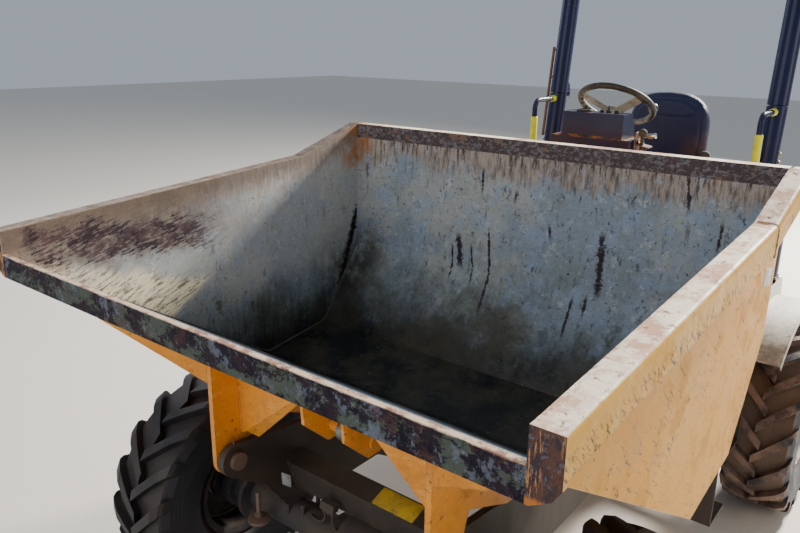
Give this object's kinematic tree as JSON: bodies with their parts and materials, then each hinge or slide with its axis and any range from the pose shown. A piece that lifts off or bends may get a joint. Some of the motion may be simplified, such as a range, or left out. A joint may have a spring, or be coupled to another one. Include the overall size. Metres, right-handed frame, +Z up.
{
  "type": "site_dumper",
  "caption": "Articulated front-tip site dumper with high skip, folding roll hoop, open operator's seat and lugged tyres",
  "frame": {"origin": "on the ground, at the middle of the bounding box's length and width", "axes": "+Z up, -Y towards the skip's front, +X towards the vehicle's left"},
  "size_m": [1.9, 3.88, 2.75],
  "materials": {
    "skip_paint": "satin",
    "lip_steel": "satin",
    "leg_paint": "satin",
    "frame_paint": "satin",
    "dark_paint": "satin",
    "fender_paint": "satin",
    "cover_paint": "satin",
    "wheel_paint": "satin",
    "bare_steel": "satin",
    "rod_chrome": "polished",
    "cast": "rough",
    "tyre_rubber": "matte",
    "buffer_rubber": "matte",
    "handle_sleeve": "satin",
    "wheel_rim_plastic": "satin",
    "seat_skin": "satin",
    "engine_cast": "rough"
  },
  "bodies": {
    "rear_chassis": {"rear_nose": "frame_paint", "steer_pin": "bare_steel", "rear_plates": "frame_paint", "counterweight": "frame_paint", "tow_jaw": "frame_paint", "steps": "dark_paint", "tanks": "dark_paint", "body_shell": "dark_paint", "deck": "dark_paint", "console": "dark_paint", "steering_wheel": "wheel_rim_plastic", "seat": "seat_skin", "seat_mount": "dark_paint", "control_levers": "dark_paint", "engine": "engine_cast", "rops_base": "dark_paint", "grab_handles": "handle_sleeve", "fenders": "fender_paint", "rear_axle": "frame_paint", "rear_shaft": "frame_paint", "silencer": "frame_paint", "tail_pipe": "frame_paint"},
    "swivel": {"knuckle": "cast"},
    "front_chassis": {"front_plates": "frame_paint", "front_cross_tube": "frame_paint", "front_tail": "frame_paint", "tipping_pins": "bare_steel", "skip_buffers": "buffer_rubber", "front_axle": "frame_paint", "front_shaft": "frame_paint"},
    "skip": {"skip_floor": "skip_paint", "skip_back": "skip_paint", "skip_side_left": "skip_paint", "skip_side_right": "skip_paint", "skip_lip": "lip_steel", "skip_legs": "leg_paint", "skip_ram_bracket": "leg_paint"},
    "tip_barrel": {"tip_ram_barrel": "frame_paint"},
    "tip_rod": {"tip_ram_rod": "rod_chrome"},
    "steer_barrel": {"steer_ram_barrel": "frame_paint"},
    "steer_rod": {"steer_ram_rod": "rod_chrome"},
    "hoop": {"rops_hoop": "dark_paint", "hoop_rod": "bare_steel"},
    "engine_cover": {"bonnet": "cover_paint"},
    "front_left_wheel": {"tyre_front_left": "tyre_rubber", "wheel_front_left": "wheel_paint"},
    "front_right_wheel": {"tyre_front_right": "tyre_rubber", "wheel_front_right": "wheel_paint"},
    "rear_left_wheel": {"tyre_rear_left": "tyre_rubber", "wheel_rear_left": "wheel_paint"},
    "rear_right_wheel": {"tyre_rear_right": "tyre_rubber", "wheel_rear_right": "wheel_paint"}
  },
  "joints": [
    {"name": "steering", "type": "hinge", "parent": "rear_chassis", "child": "swivel", "pos_m": [0, -0.25, 0.6], "axis": [0, 0, 1], "range_deg": [-35, 35]},
    {"name": "oscillation", "type": "hinge", "parent": "swivel", "child": "front_chassis", "pos_m": [0, -0.25, 0.6], "axis": [0, 1, 0], "range_deg": [-12, 12]},
    {"name": "skip_tip", "type": "hinge", "parent": "front_chassis", "child": "skip", "pos_m": [0, -1.51, 0.783], "axis": [1, 0, 0], "range_deg": [0, 75]},
    {"name": "tip_ram_swing", "type": "hinge", "parent": "front_chassis", "child": "tip_barrel", "pos_m": [0, -0.78, 0.6], "axis": [1, 0, 0], "range_deg": [-1, 9]},
    {"name": "tip_ram_slide", "type": "slide", "parent": "tip_barrel", "child": "tip_rod", "axis": [0, -0.848, 0.53], "range_m": [-0.002, 0.265]},
    {"name": "steer_ram_swing", "type": "hinge", "parent": "rear_chassis", "child": "steer_barrel", "pos_m": [0.25, 0.22, 0.6], "axis": [0, 0, 1], "range_deg": [-4, 4]},
    {"name": "steer_ram_slide", "type": "slide", "parent": "steer_barrel", "child": "steer_rod", "axis": [-0.1789, -0.9839, 0], "range_m": [-0.1, 0.1]},
    {"name": "hoop_fold", "type": "hinge", "parent": "rear_chassis", "child": "hoop", "pos_m": [0, 0.98342, 1.838], "axis": [-1, 0, 0], "range_deg": [0, 85]},
    {"name": "cover_lift", "type": "hinge", "parent": "rear_chassis", "child": "engine_cover", "pos_m": [0, 1.768, 0.722], "axis": [-1, 0, 0], "range_deg": [0, 55]},
    {"name": "front_left_turn", "type": "hinge", "parent": "front_chassis", "child": "front_left_wheel", "pos_m": [0.805, -1.24, 0.43], "axis": [1, 0, 0], "continuous": true},
    {"name": "front_right_turn", "type": "hinge", "parent": "front_chassis", "child": "front_right_wheel", "pos_m": [-0.805, -1.24, 0.43], "axis": [1, 0, 0], "continuous": true},
    {"name": "rear_left_turn", "type": "hinge", "parent": "rear_chassis", "child": "rear_left_wheel", "pos_m": [0.805, 0.735, 0.43], "axis": [1, 0, 0], "continuous": true},
    {"name": "rear_right_turn", "type": "hinge", "parent": "rear_chassis", "child": "rear_right_wheel", "pos_m": [-0.805, 0.735, 0.43], "axis": [1, 0, 0], "continuous": true}
  ],
  "couplings": [
    {"joint": "tip_ram_swing", "follows": "skip_tip", "ratio": 0.1147},
    {"joint": "tip_ram_slide", "follows": "skip_tip", "m_per_rad": 0.1981},
    {"joint": "steer_ram_swing", "follows": "steering", "ratio": 0.0899},
    {"joint": "steer_ram_slide", "follows": "steering", "m_per_rad": -0.1566}
  ]
}
